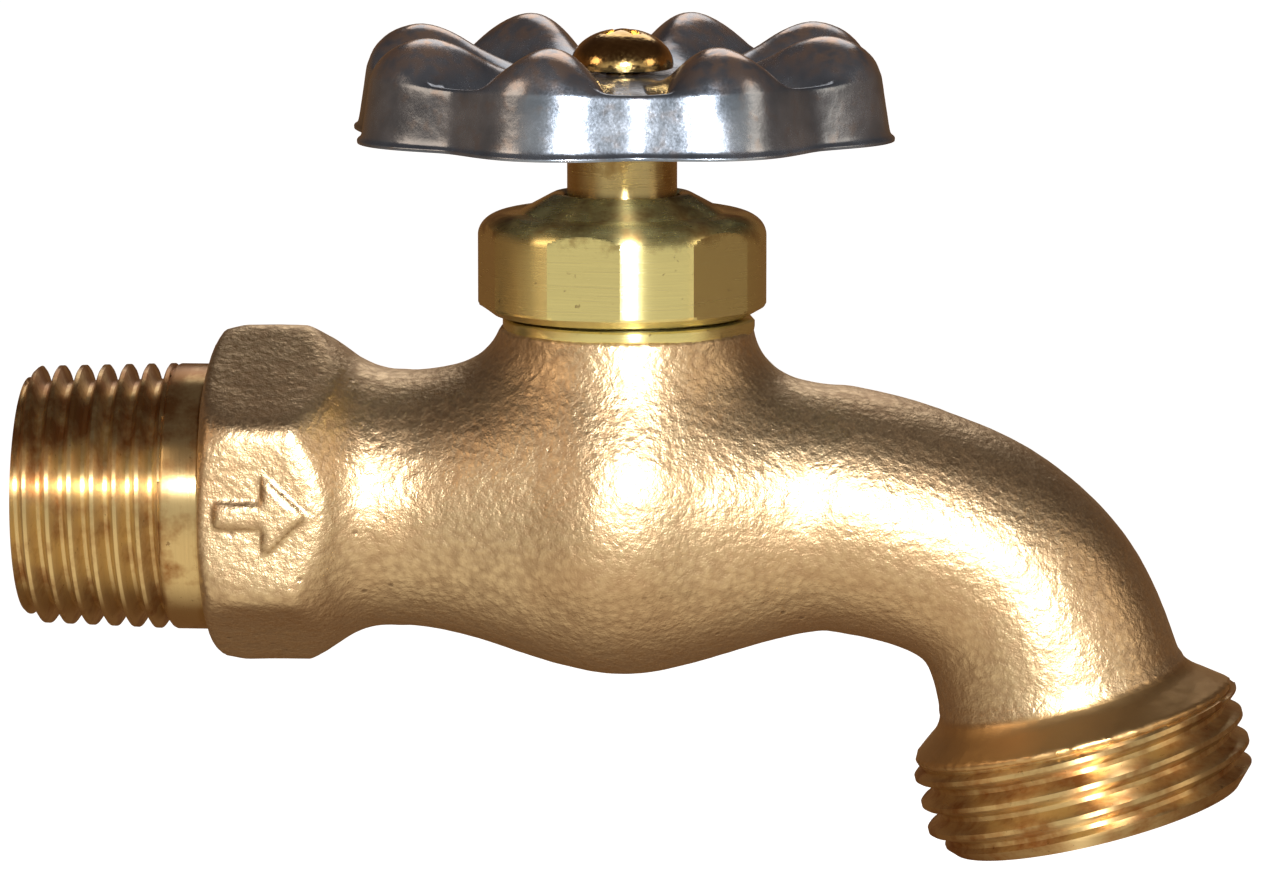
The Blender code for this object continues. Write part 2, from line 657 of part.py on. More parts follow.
def main():
    clear_scene()
    bronze = material("cast_bronze", (0.50, 0.33, 0.16), 1.0, 0.45)
    brass = material("turned_brass", (0.66, 0.52, 0.20), 1.0, 0.25)
    rubber = material("black_rubber", (0.03, 0.03, 0.03), 0.0, 0.7)
    graphite = material("graphite_packing", (0.08, 0.08, 0.08), 0.1, 0.6)
    gunmetal = material("dark_die_cast_metal", (0.16, 0.15, 0.16), 1.0, 0.32)
    dark_brass = material("dark_screw_brass", (0.35, 0.22, 0.08), 1.0, 0.2)
    build_valve_body(bronze)
    seat_washer(rubber)
    build_stem(brass)
    washer_screw(brass)
    packing_washer(brass)
    stem_packing(graphite)
    packing_gland(brass)
    build_packing_nut(brass)
    build_handwheel(gunmetal)
    handle_screw(dark_brass)


main()
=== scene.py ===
"""Looks of the hose bib: sand-cast bronze body, machined threads, brass nut and stem, dark handwheel.

Every piece is built in the CAD frame.  Sizes below are in millimetres, and meshes are in metres.
The origin is the middle of the inlet's end face, +X runs towards the spout and +Z up the stem.
"""
import math

import bmesh
import bpy
import numpy as np
from mathutils import Matrix, Vector, noise


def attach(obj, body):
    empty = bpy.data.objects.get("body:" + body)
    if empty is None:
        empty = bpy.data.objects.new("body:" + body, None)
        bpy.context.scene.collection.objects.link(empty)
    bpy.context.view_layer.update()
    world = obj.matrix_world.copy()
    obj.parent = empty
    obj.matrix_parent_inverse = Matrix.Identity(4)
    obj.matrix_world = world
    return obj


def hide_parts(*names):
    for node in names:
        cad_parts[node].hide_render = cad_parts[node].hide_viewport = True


MM = 0.001

# Inlet thread, collar and wrench hexagon
PIPE_PITCH = 25.4 / 14.0
PIPE_END_R = 10.36
PIPE_TAPER = 1.0 / 32.0
PIPE_DEPTH = 1.25
PIPE_LENGTH = 12.2
PIPE_START = 0.5
COLLAR_R = 10.72
HEX_START = 15.2
HEX_APOTHEM = 12.15
HEX_CORNER = 13.75
HEX_RISE = 0.35               # the casting sits a little above the machined thread's axis
HEX_FRONT_X = (HEX_START - 1.0, HEX_START, HEX_START + 0.9, HEX_START + 2.6)
HEX_FRONT_R = (10.6, 12.0, 13.2, HEX_CORNER)
HEX_BACK_X = (22.9, 25.3, 27.2, 30.0)       # where the hexagon's back runs down to the arm
HEX_BACK_R = (HEX_CORNER, 12.1, 10.7, 8.6)
INLET_BORE_R = 6.6

# Flow arrow on the front flat, from its own middle
ARROW_PLACE = 5.2             # distance past the hexagon's start
ARROW_TAIL = -3.6
ARROW_TIP = 3.8
ARROW_SHAFT = 1.0             # half width
ARROW_HEIGHT = 0.45
ARROW_EDGE = (0.68, 0.735)    # unit direction square to the head's slanting edge

# Casting
STEM_X = 48.2
ARM_R = 10.45
SPOUT_R = 9.9
GLOBE_HALF_LENGTH = 17.0
GLOBE_SWELL_Z = 3.6
GLOBE_SWELL_Y = 3.4
GLOBE_SHARPNESS = 1.7         # how quickly the arm swells into the globe
GLOBE_HALVES = (12.4, 14.2, 13.75)   # the ball over the seat, along X, Y and Z
GLOBE_AHEAD = 0.2
GLOBE_RISE = 0.15
SPOUT_START_Z = -0.3          # height of the centre line where the spout leaves the globe
NECK_R = 10.0
NECK_SHIFT = 0.45
NECK_TOP_Z = 14.3
SPOUT_BORE_R = 7.3
SEAT_Z = -2.0
SEAT_PORT_R = 4.1
SEAT_RING_R = 6.0
CHAMBER_R = 7.8
DECK_Z = -5.2
NECK_BORE_R = 7.1

# Outlet
HOSE_PITCH = 25.4 / 11.5
HOSE_CREST_R = 13.4
HOSE_DEPTH = 1.2
HOSE_LENGTH = 7.8
OUTLET_TILT = math.radians(14.5)
OUTLET_SHOULDER = (STEM_X + 36.35, -17.6)   # x and z of the middle of the cast shoulder's underside
SHOULDER_R = 13.0
OUTLET_BORE_R = 8.6

# Packing nut
NUT_LOW_Z = 15.3
NUT_APOTHEM = 11.15
NUT_CORNER = 11.55
NUT_TURN = math.radians(-11.2)
NUT_BORE_R = 4.7

# Stem
STEM_PITCH = 2.54
STEM_THREAD_R = 6.6
STEM_THREAD_DEPTH = 0.75
STEM_THREAD_Z = (3.2, 9.2)
SHANK_R = 4.4

# Handwheel and its screw
WHEEL_Z = 29.7
LOBES = 8
WHEEL_TURN = math.radians(8.0)
HUB_R = 6.2
HUB_TOP = 4.9                 # heights on the wheel are above its bottom edge
SOCKET_R = 4.7                # round recess for the shank, below the square socket
SOCKET_FLOOR = 1.9
SOCKET_TOP = 4.1
SCREW_HOLE_R = 1.9
SCREW_BASE_Z = 34.9
SCREW_HEAD_R = 4.1
SCREW_HEAD_H = 3.2

GRID_PITCH = 0.4              # spacing of the grid that the casting's skin is read from
BROAD_LIFT = 0.14             # height of the casting's long waves
PEBBLE_LIFT = 0.02            # height of its fine grain
MERGE = 0.002                 # points nearer than this become one
FLOOR_Z = -150.0

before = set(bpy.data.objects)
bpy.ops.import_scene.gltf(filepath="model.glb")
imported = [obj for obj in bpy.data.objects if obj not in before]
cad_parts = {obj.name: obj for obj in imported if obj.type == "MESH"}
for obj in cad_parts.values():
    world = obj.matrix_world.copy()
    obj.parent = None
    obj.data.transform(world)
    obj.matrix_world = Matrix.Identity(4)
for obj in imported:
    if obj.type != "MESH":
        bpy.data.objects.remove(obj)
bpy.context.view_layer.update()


# ---------------------------------------------------------------- shapes from numbers

def smooth_min(a, b, reach):
    """The smaller of two fields, rounded over where they are nearly equal."""
    near = np.maximum(reach - np.abs(a - b), 0.0) / reach
    return np.minimum(a, b) - near * near * reach * 0.25


def smooth_max(a, b, reach):
    """The larger of two fields, rounded over where they are nearly equal."""
    return -smooth_min(-a, -b, reach)


def outlet_axis():
    """Unit direction in which the hose thread points."""
    return np.array((math.sin(OUTLET_TILT), 0.0, -math.cos(OUTLET_TILT)))


def outlet_point(distance):
    """Point on the outlet's axis, at a distance past the cast shoulder."""
    x, z = OUTLET_SHOULDER
    return np.array((x, 0.0, z)) + outlet_axis() * distance


def spout_curve(count):
    """Points on the bent spout's centre line and the spout's radius at each."""
    start = np.array((STEM_X + GLOBE_HALF_LENGTH, 0.0, SPOUT_START_Z))
    end = outlet_point(-3.0) - np.array((0.25, 0.0, 0.0))
    first = start + np.array((13.0, 0.0, -2.2))
    second = end - outlet_axis() * 8.6
    t = np.linspace(0.0, 1.0, count)[:, None]
    u = 1.0 - t
    points = start * u**3 + first * (3 * u * u * t) + second * (3 * u * t * t) + end * t**3
    radii = SPOUT_R - 0.5 * np.sin(math.pi * t[:, 0])
    return points, radii


def chain_distance(p, centres, radii):
    """Distance to a row of balls so close together that they make one smooth tube."""
    best = np.full(len(p), 99.0)
    margin = radii.max() + 4.0
    low, high = centres.min(axis=0) - margin, centres.max(axis=0) + margin
    near = np.flatnonzero(np.all((p > low) & (p < high), axis=1))
    for part in np.array_split(near, len(near) // 20000 + 1):
        q = p[part]
        squares = (q * q).sum(axis=1)[:, None] - 2.0 * q @ centres.T + (centres * centres).sum(axis=1)
        best[part] = (np.sqrt(np.maximum(squares, 0.0)) - radii).min(axis=1)
    return best


def straight_chain(stations, step=0.4):
    """Centres and radii of balls along straight lines between (x, z, radius) stations."""
    stations = np.array(stations, float)
    spans = np.hypot(np.diff(stations[:, 0]), np.diff(stations[:, 1]))
    marks = np.concatenate(([0.0], np.cumsum(spans)))
    at = np.linspace(0.0, marks[-1], int(marks[-1] / step) + 2)
    x, z, radius = (np.interp(at, marks, stations[:, k]) for k in range(3))
    return np.stack((x, np.zeros_like(x), z), axis=1), radius


def arm_and_globe(p):
    """Straight arm that swells into the globe, as far as the start of the bend."""
    x, y, z = p.T
    first_x, last_x = HEX_START + 3.0, STEM_X + GLOBE_HALF_LENGTH
    along = np.clip((x - first_x) / (last_x - first_x), 0.0, 1.0)
    reach = np.minimum(np.abs(x - STEM_X) / GLOBE_HALF_LENGTH, 1.0)
    swell = np.cos(0.5 * math.pi * reach) ** GLOBE_SHARPNESS
    radius = ARM_R + (SPOUT_R - ARM_R) * along
    r_y, r_z = radius + GLOBE_SWELL_Y * swell, radius + GLOBE_SWELL_Z * swell
    height = z - (HEX_RISE - (HEX_RISE - SPOUT_START_Z) * along)
    round_part = (np.sqrt((y / r_y) ** 2 + (height / r_z) ** 2) - 1.0) * r_y
    arm = np.maximum(round_part, np.maximum(first_x - x, x - last_x - 0.4))
    half_x, half_y, half_z = GLOBE_HALVES
    ball = np.sqrt(((x - STEM_X - GLOBE_AHEAD) / half_x) ** 2 + (y / half_y) ** 2
                   + ((z - GLOBE_RISE) / half_z) ** 2)
    return smooth_min(arm, (ball - 1.0) * half_x, 0.6)


def wrench_hexagon(p):
    """Six flats whose corners are turned down at both ends; the back runs down to the arm as a cone."""
    x, y, z = p.T
    z = z - HEX_RISE
    half, tall = 0.5 * y, math.sqrt(0.75) * z
    slanting = smooth_max(np.abs(half + tall), np.abs(half - tall), 0.6)
    flats = smooth_max(np.abs(y), slanting, 0.6) - HEX_APOTHEM
    radius = np.interp(x, HEX_FRONT_X + HEX_BACK_X, HEX_FRONT_R + HEX_BACK_R)
    cone = (np.hypot(y, z) - radius) * 0.8
    ends = np.maximum(HEX_START - x, x - HEX_BACK_X[-1])
    return smooth_max(smooth_max(flats, cone, 0.6), ends, 0.7)


def flow_arrow(p):
    """Raised arrow on the front flat, pointing the way the water runs."""
    x, y, z = p.T
    x = x - (HEX_START + ARROW_PLACE)
    z = np.abs(z - HEX_RISE)
    shaft = np.maximum(np.maximum(ARROW_TAIL - x, x - 0.4), z - ARROW_SHAFT)
    head = np.maximum(0.2 - x, (x - ARROW_TIP) * ARROW_EDGE[0] + z * ARROW_EDGE[1])
    depth = np.maximum(-HEX_APOTHEM - ARROW_HEIGHT - y, y + HEX_APOTHEM - 0.8)
    return smooth_max(np.minimum(shaft, head), depth, 0.3)


def upright(p, centre_x, radius, low, high, rounding=0.5):
    """Vertical cylinder with rounded rims."""
    x, y, z = p.T
    side = np.hypot(x - centre_x, y) - radius
    return smooth_max(side, np.maximum(low - z, z - high), rounding)


def outlet_flange(p):
    """Conical cast shoulder above the hose thread, turned in a little below its edge."""
    q = p - outlet_point(0.0)
    along = q @ outlet_axis()
    across = np.sqrt(np.maximum((q * q).sum(axis=1) - along * along, 0.0))
    cone = (across - np.interp(along, (-3.2, -0.35, 0.7), (9.3, SHOULDER_R + 0.1, SHOULDER_R - 0.6))) * 0.65
    return smooth_max(cone, np.abs(along + 1.2) - 1.9, 0.3)


def water_ways(p):
    """Everything hollow: inlet, chambers under and over the seat, stem bore and spout."""
    inlet = straight_chain(((8.0, 0.0, INLET_BORE_R), (STEM_X - 24.0, 0.0, INLET_BORE_R),
                            (STEM_X - 15.0, -1.4, 6.2), (STEM_X - 9.0, -5.0, 5.2), (STEM_X - 3.0, -7.6, 3.4)))
    hollow = chain_distance(p, *inlet)
    hollow = smooth_min(hollow, upright(p, STEM_X, 7.4, -10.9, DECK_Z, 2.0), 0.6)
    hollow = np.minimum(hollow, upright(p, STEM_X, SEAT_PORT_R, DECK_Z - 1.0, SEAT_Z + 1.0))
    over = upright(p, STEM_X, CHAMBER_R, SEAT_Z - 0.9, 4.4)
    ring = upright(p, STEM_X, SEAT_RING_R, -9.0, SEAT_Z)
    hollow = np.minimum(hollow, np.maximum(over, -ring))
    hollow = np.minimum(hollow, upright(p, STEM_X, NECK_BORE_R, 3.0, 30.0))
    points = spout_curve(90)[0]
    tail = outlet_point(6.0)
    centres = np.concatenate((straight_chain(((STEM_X + 6.0, 0.8, 3.6), (STEM_X + 9.0, 0.6, 5.0),
                                              (STEM_X + 15.0, -0.3, 7.0)))[0], points,
                              np.linspace(points[-1], tail, 26)))
    bore = np.full(len(centres), SPOUT_BORE_R)
    lead = len(centres) - len(points) - 26
    bore[:lead] = np.interp(centres[:lead, 0], (STEM_X + 6.0, STEM_X + 15.0), (3.6, 7.0))
    return smooth_min(hollow, chain_distance(p, centres, bore), 0.5)


def casting(p):
    """Signed distance, near the skin, of the whole casting: negative inside the metal."""
    outer = np.minimum(arm_and_globe(p), chain_distance(p, *spout_curve(150)))
    outer = smooth_min(outer, wrench_hexagon(p), 1.2)
    outer = np.minimum(outer, flow_arrow(p))
    outer = smooth_min(outer, upright(p, STEM_X + NECK_SHIFT, NECK_R, -2.0, NECK_TOP_Z, 0.4), 4.2)
    outer = smooth_min(outer, outlet_flange(p), 1.2)
    past_outlet = (p - outlet_point(0.7)) @ outlet_axis()
    past_inlet = HEX_START - p[:, 0]
    outer = smooth_max(outer, np.maximum(past_outlet, np.maximum(past_inlet, p[:, 2] - NECK_TOP_Z)), 0.4)
    return smooth_max(outer, -water_ways(p), 0.4)


def skin(field, low, pitch):
    """Quads around the zero level of a field sampled on a grid, one point for each cell it crosses."""
    inside = field < 0.0
    size = tuple(n - 1 for n in field.shape)
    total, crossings = np.zeros(size + (3,)), np.zeros(size)

    def window(grid, offset):
        return grid[tuple(slice(o, o + n) for o, n in zip(offset, size))]

    for axis in range(3):
        others = [a for a in range(3) if a != axis]
        for step in range(4):
            start = [0, 0, 0]
            start[others[0]], start[others[1]] = step & 1, step >> 1
            stop = list(start)
            stop[axis] = 1
            a, b = window(field, start), window(field, stop)
            cut = window(inside, start) != window(inside, stop)
            share = np.where(cut, a / np.where(cut, a - b, 1.0), 0.0)
            for k in range(3):
                total[..., k] += cut * (start[k] + (share if k == axis else 0.0))
            crossings += cut
    used = crossings > 0
    index = np.full(size, -1)
    index[used] = np.arange(used.sum())
    cells = np.argwhere(used)
    points = low + pitch * (cells + total[used] / crossings[used][:, None])
    faces = []
    for axis in range(3):
        b, c = (axis + 1) % 3, (axis + 2) % 3
        ahead = [slice(None)] * 3
        behind = [slice(None)] * 3
        ahead[axis], behind[axis] = slice(1, None), slice(None, -1)
        cut = inside[tuple(ahead)] != inside[tuple(behind)]
        at = np.argwhere(cut)
        off_edge = (at[:, b] > 0) & (at[:, c] > 0)
        off_edge &= (at[:, b] < field.shape[b] - 1) & (at[:, c] < field.shape[c] - 1)
        at = at[off_edge]
        corners = []
        for db, dc in ((-1, -1), (0, -1), (0, 0), (-1, 0)):
            cell = at.copy()
            cell[:, b] += db
            cell[:, c] += dc
            corners.append(index[tuple(cell.T)])
        quads = np.stack(corners, axis=1)
        leaving = inside[tuple(at.T)]
        quads[~leaving] = quads[~leaving][:, ::-1]
        faces.append(quads)
    return points, np.concatenate(faces)


def settle(points, distance, rounds=2, reach=0.03):
    """Move points along the field's slope onto its zero level; also gives the unit normals there."""
    slope = None
    for _ in range(rounds):
        value = distance(points)
        slope = np.stack([distance(points + np.eye(3)[k] * reach) - value for k in range(3)], axis=1) / reach
        steep = np.maximum((slope * slope).sum(axis=1), 0.25)
        move = slope * (value / steep)[:, None]
        points = points - np.clip(move, -0.5 * GRID_PITCH, 0.5 * GRID_PITCH)
    return points, slope / np.maximum(np.linalg.norm(slope, axis=1), 1e-6)[:, None]


# ---------------------------------------------------------------- meshes and pieces

def add_piece(name, mesh, mat, body, replaces=()):
    """Make an object of a mesh in metres, hang it on the body it rides on, and hide the CAD nodes it stands
    for.
    """
    obj = bpy.data.objects.new(name, mesh)
    bpy.context.scene.collection.objects.link(obj)
    mesh.materials.clear()
    mesh.materials.append(mat)
    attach(obj, body)
    for node in replaces:
        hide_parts(node)
    return obj


def to_mesh(name, bm, sharp=40.0):
    """Finish a bmesh in millimetres: outward normals, smooth shading with sharp edges, metres."""
    bmesh.ops.remove_doubles(bm, verts=bm.verts, dist=MERGE)
    bmesh.ops.recalc_face_normals(bm, faces=bm.faces)
    bmesh.ops.transform(bm, matrix=Matrix.Scale(MM, 4), verts=bm.verts)
    mesh = bpy.data.meshes.new(name)
    bm.to_mesh(mesh)
    bm.free()
    mesh.shade_smooth()
    mesh.set_sharp_from_angle(angle=math.radians(sharp))
    return mesh


def cut_mesh(name, mesh, tools, sharp=40.0):
    """Cut meshes out of a mesh and give the result."""
    target = bpy.data.objects.new(name, mesh)
    bpy.context.scene.collection.objects.link(target)
    helpers = []
    for tool in tools:
        helper = bpy.data.objects.new(name + "_cut", tool)
        bpy.context.scene.collection.objects.link(helper)
        cut = target.modifiers.new("cut", "BOOLEAN")
        cut.operation = "DIFFERENCE"
        cut.solver = "EXACT"
        cut.object = helper
        helpers.append(helper)
    result = bpy.data.meshes.new_from_object(target.evaluated_get(bpy.context.evaluated_depsgraph_get()))
    for obj in (target, *helpers):
        bpy.data.objects.remove(obj, do_unlink=True)
    result.name = name
    result.shade_smooth()
    result.set_sharp_from_angle(angle=math.radians(sharp))
    return result


def loft(rings, loop=False):
    """Skin a list of rings; a loop joins the last ring to the first, and otherwise the ends are closed."""
    bm = bmesh.new()
    rows = [[bm.verts.new(point) for point in ring] for ring in rings]
    count = len(rows[0])
    pairs = list(zip(rows, rows[1:]))
    if loop:
        pairs.append((rows[-1], rows[0]))
    for low, high in pairs:
        for i in range(count):
            j = (i + 1) % count
            bm.faces.new((low[i], low[j], high[j], high[i]))
    if not loop:
        bm.faces.new(rows[0])
        bm.faces.new(rows[-1])
    return bm


def circle(radius, z, count, centre_x=STEM_X):
    """Level ring of points round a vertical axis."""
    points = []
    for i in range(count):
        angle = 2.0 * math.pi * i / count
        points.append(Vector((centre_x + radius * math.cos(angle), radius * math.sin(angle), z)))
    return points


def rounded(profile, steps):
    """Smooth curve through profile points of any number of values, with the same ends."""
    knots = np.array(profile, float)
    padded = np.concatenate((2 * knots[:1] - knots[1:2], knots, 2 * knots[-1:] - knots[-2:-1]))
    out = []
    for k in range(1, len(padded) - 2):
        a, b, c, d = padded[k - 1:k + 3]
        for s in range(steps):
            t = s / steps
            out.append(0.5 * (2 * b + (c - a) * t + (2 * a - 5 * b + 4 * c - d) * t**2
                              + (3 * b - a - 3 * c + d) * t**3))
    out.append(knots[-1])
    return out


def thread_rod(length, pitch, depth, crest_radius, end_radius, tail_radius, count=120, turn=0.0):
    """Threaded rod along +Z, its rows of points following the helix, with rounded crests and roots."""
    per_turn = 12
    heights = [(0.5 - 0.5 * math.cos(2.0 * math.pi * k / per_turn)) ** 1.25 for k in range(per_turn)]
    heights = [min(max(1.3 * h - 0.08, 0.0), 1.0) for h in heights]
    turns = int(math.ceil(length / pitch)) + 1
    bm = bmesh.new()
    rows = []
    for k in range(turns * per_turn + 1):
        row = []
        for i in range(count + 1):
            z = (k / per_turn + i / count - 1.0) * pitch
            radius = crest_radius(z) - depth * (1.0 - heights[k % per_turn])
            if z < 0.02:
                z, radius = 0.0, end_radius
            elif z > length - 0.02:
                z, radius = length, tail_radius
            radius = min(radius, end_radius + 0.95 * z)
            angle = 2.0 * math.pi * (i / count + turn)
            row.append((radius * math.cos(angle), radius * math.sin(angle), z))
        rows.append(row)
    grid = [[bm.verts.new(point) for point in row[:-1]] for row in rows]
    last = count - 1
    for k in range(len(rows) - 1):
        for i in range(last):
            bm.faces.new((grid[k][i], grid[k][i + 1], grid[k + 1][i + 1], grid[k + 1][i]))
        ahead = min(k + per_turn, len(rows) - 1)
        beyond = min(k + 1 + per_turn, len(rows) - 1)
        if ahead != beyond:
            bm.faces.new((grid[k][last], grid[ahead][0], grid[beyond][0], grid[k + 1][last]))
        else:
            bm.faces.new((grid[k][last], grid[ahead][0], grid[k + 1][last]))
    bmesh.ops.remove_doubles(bm, verts=bm.verts, dist=2.0 * MERGE)
    for end in (0.0, length):
        rim = [v for v in bm.verts if abs(v.co.z - end) < 1e-4 and any(e.is_boundary for e in v.link_edges)]
        rim.sort(key=lambda v: math.atan2(v.co.y, v.co.x))
        bm.faces.new(rim)
    return bm


def placed(bm, direction, start):
    """Turn a solid built along +Z so that it runs along a direction from a start point."""
    turn = Vector((0, 0, 1)).rotation_difference(Vector(direction)).to_matrix().to_4x4()
    bmesh.ops.transform(bm, matrix=Matrix.Translation(Vector(start)) @ turn, verts=bm.verts)
    return bm


# ---------------------------------------------------------------- materials

class Nodes:
    """Short way to add shader nodes to a material or world."""

    def __init__(self, tree):
        self.tree = tree

    def add(self, kind, inputs=None, **settings):
        node = self.tree.nodes.new("ShaderNode" + kind)
        for key, value in settings.items():
            setattr(node, key, value)
        for key, value in (inputs or {}).items():
            if isinstance(value, bpy.types.NodeSocket):
                self.tree.links.new(value, node.inputs[key])
            else:
                node.inputs[key].default_value = value
        return node

    def noise(self, coords, scale, detail=2.0, roughness=0.5):
        """Grey noise; scale counts features for each millimetre."""
        return self.add("TexNoise", {"Vector": coords, "Scale": scale, "Detail": detail,
                                     "Roughness": roughness}).outputs["Fac"]

    def math(self, operation, a, b):
        return self.add("Math", {0: a, 1: b}, operation=operation).outputs[0]

    def remap(self, value, low, high, to_low=0.0, to_high=1.0):
        return self.add("MapRange", {"Value": value, "From Min": low, "From Max": high, "To Min": to_low,
                                     "To Max": to_high}).outputs[0]

    def mix(self, factor, a, b):
        node = self.add("Mix", data_type="RGBA")
        for socket, value in ((node.inputs[0], factor), (node.inputs[6], a), (node.inputs[7], b)):
            if isinstance(value, bpy.types.NodeSocket):
                self.tree.links.new(value, socket)
            elif isinstance(value, tuple):
                socket.default_value = (*value, 1.0)
            else:
                socket.default_value = value
        return node.outputs[2]


def start_material(name, metallic):
    """A new material, its nodes, its shader and object coordinates in millimetres."""
    mat = bpy.data.materials.new(name)
    mat.use_nodes = True
    nodes = Nodes(mat.node_tree)
    shader = mat.node_tree.nodes["Principled BSDF"]
    shader.inputs["Metallic"].default_value = metallic
    place = nodes.add("TexCoord").outputs["Object"]
    coords = nodes.add("VectorMath", {0: place, 3: 1.0 / MM}, operation="SCALE").outputs[0]
    return mat, nodes, shader, coords


def finish_material(nodes, shader, colour, roughness, bumps):
    """Link a colour, a roughness and a chain of (height, depth in metres) bumps to the shader."""
    nodes.tree.links.new(colour, shader.inputs["Base Color"])
    nodes.tree.links.new(roughness, shader.inputs["Roughness"])
    normal = None
    for height, depth in bumps:
        inputs = {"Height": height, "Distance": depth, "Strength": 1.0}
        if normal is not None:
            inputs["Normal"] = normal
        normal = nodes.add("Bump", inputs).outputs[0]
    nodes.tree.links.new(normal, shader.inputs["Normal"])


def stretched(nodes, coords, scale):
    """Coordinates scaled by a different amount along each axis."""
    return nodes.add("VectorMath", {0: coords, 1: scale}, operation="MULTIPLY").outputs[0]


def cast_bronze():
    """Sand-cast skin: pebbled grain, dull brown hollows, brighter rubbed high spots and a few pits."""
    mat, nodes, shader, coords = start_material("cast_bronze_skin", 1.0)
    along = nodes.add("VectorMath", {0: coords, 1: tuple(outlet_axis())},
                      operation="DOT_PRODUCT").outputs["Value"]
    shoulder = float(outlet_point(0.0) @ outlet_axis())
    as_cast = nodes.remap(along, shoulder - 2.7, shoulder - 3.3, 0.12, 1.0)
    grain = nodes.math("MULTIPLY", nodes.noise(coords, 3.0, 2.0, 0.6), as_cast)
    sand = nodes.math("MULTIPLY", nodes.noise(coords, 6.5, 2.0, 0.6), as_cast)
    wander = nodes.add("TexNoise", {"Vector": coords, "Scale": 1.3, "Detail": 1.0}).outputs["Color"]
    warped = nodes.add("VectorMath", {0: wander, 1: (0.5, 0.5, 0.5), 2: coords},
                       operation="MULTIPLY_ADD").outputs[0]
    pebbles = nodes.add("TexVoronoi", {"Vector": warped, "Scale": 1.5, "Smoothness": 0.6},
                        feature="SMOOTH_F1").outputs["Distance"]
    lumps = nodes.noise(coords, 0.4, 2.0)
    patches = nodes.noise(coords, 0.09, 3.0, 0.6)
    pit_cells = nodes.add("TexVoronoi", {"Vector": coords, "Scale": 0.3}).outputs["Distance"]
    pits = nodes.remap(pit_cells, 0.03, 0.09)
    high = nodes.math("MULTIPLY", nodes.remap(pebbles, 0.75, 0.25), as_cast)
    colour = nodes.mix(high, (0.42, 0.30, 0.18), (0.62, 0.475, 0.295))
    colour = nodes.mix(nodes.remap(patches, 0.42, 0.66, 0.0, 0.4), colour, (0.46, 0.29, 0.16))
    colour = nodes.mix(nodes.remap(grain, 0.5, 0.75, 0.0, 0.35), colour, (0.36, 0.235, 0.13))
    colour = nodes.mix(nodes.remap(pit_cells, 0.03, 0.08, 0.6, 0.0), colour, (0.20, 0.13, 0.08))
    colour = nodes.mix(as_cast, (0.54, 0.345, 0.15), colour)
    rough = nodes.math("ADD", nodes.remap(high, 0.0, 1.0, 0.46, 0.36),
                       nodes.remap(sand, 0.3, 0.7, -0.05, 0.05))
    finish_material(nodes, shader, colour, rough,
                    ((lumps, 0.0001), (high, 0.000024), (grain, 0.00005), (sand, 0.000025), (pits, 0.00004)))
    return mat


def turned_brass(name, bright, stain_and_shade_colour, stain_and_shade_share, axis, dark_zone, rough=0.3):
    """Machined brass with tool marks round an axis, random brown stains, and a darkening that grows between
    two heights: painted shade on the nut's domed top and on the stem up under the wheel, a darker top on the
    inlet and a darker lower end on the outlet.
    """
    mat, nodes, shader, coords = start_material(name, 0.96)
    scale = [0.12, 0.12, 0.12]
    scale["XYZ".index(axis)] = 7.0
    marks = nodes.noise(stretched(nodes, coords, tuple(scale)), 1.0, 3.0, 0.6)
    cloud = nodes.noise(coords, 0.3, 4.0, 0.65)
    specks = nodes.noise(coords, 1.6, 3.0, 0.7)
    height = nodes.add("SeparateXYZ", {0: coords}).outputs["Z"]
    # Darkening with height between the two heights of dark_zone: painted shade on the nut's top and on the
    # stem under the wheel; on the inlet and outlet only darker towards one end
    darker_by_height = nodes.remap(height, *dark_zone, 0.0, 0.22)
    stain_and_shade = nodes.remap(nodes.math("ADD", cloud, darker_by_height), 0.62 - stain_and_shade_share, 0.84 - stain_and_shade_share)
    colour = nodes.mix(nodes.remap(marks, 0.3, 0.7, 0.0, 0.2), bright, tuple(0.72 * c for c in bright))
    # Stain colour laid by the mask: real random stains plus the painted shade of the height ramp
    colour = nodes.mix(stain_and_shade, colour, stain_and_shade_colour)
    colour = nodes.mix(nodes.remap(specks, 0.66, 0.72, 0.0, 0.6), colour, (0.16, 0.08, 0.035))
    roughness = nodes.math("ADD", nodes.remap(stain_and_shade, 0.0, 1.0, rough, rough + 0.1),
                           nodes.remap(marks, 0.3, 0.7, -0.03, 0.03))
    around = nodes.add("Tangent", direction_type="RADIAL", axis=axis).outputs[0]
    mat.node_tree.links.new(around, shader.inputs["Tangent"])
    shader.inputs["Anisotropic"].default_value = 0.95
    shader.inputs["Anisotropic Rotation"].default_value = 0.25
    finish_material(nodes, shader, colour, roughness, ((marks, 0.00001), (specks, 0.000004)))
    return mat


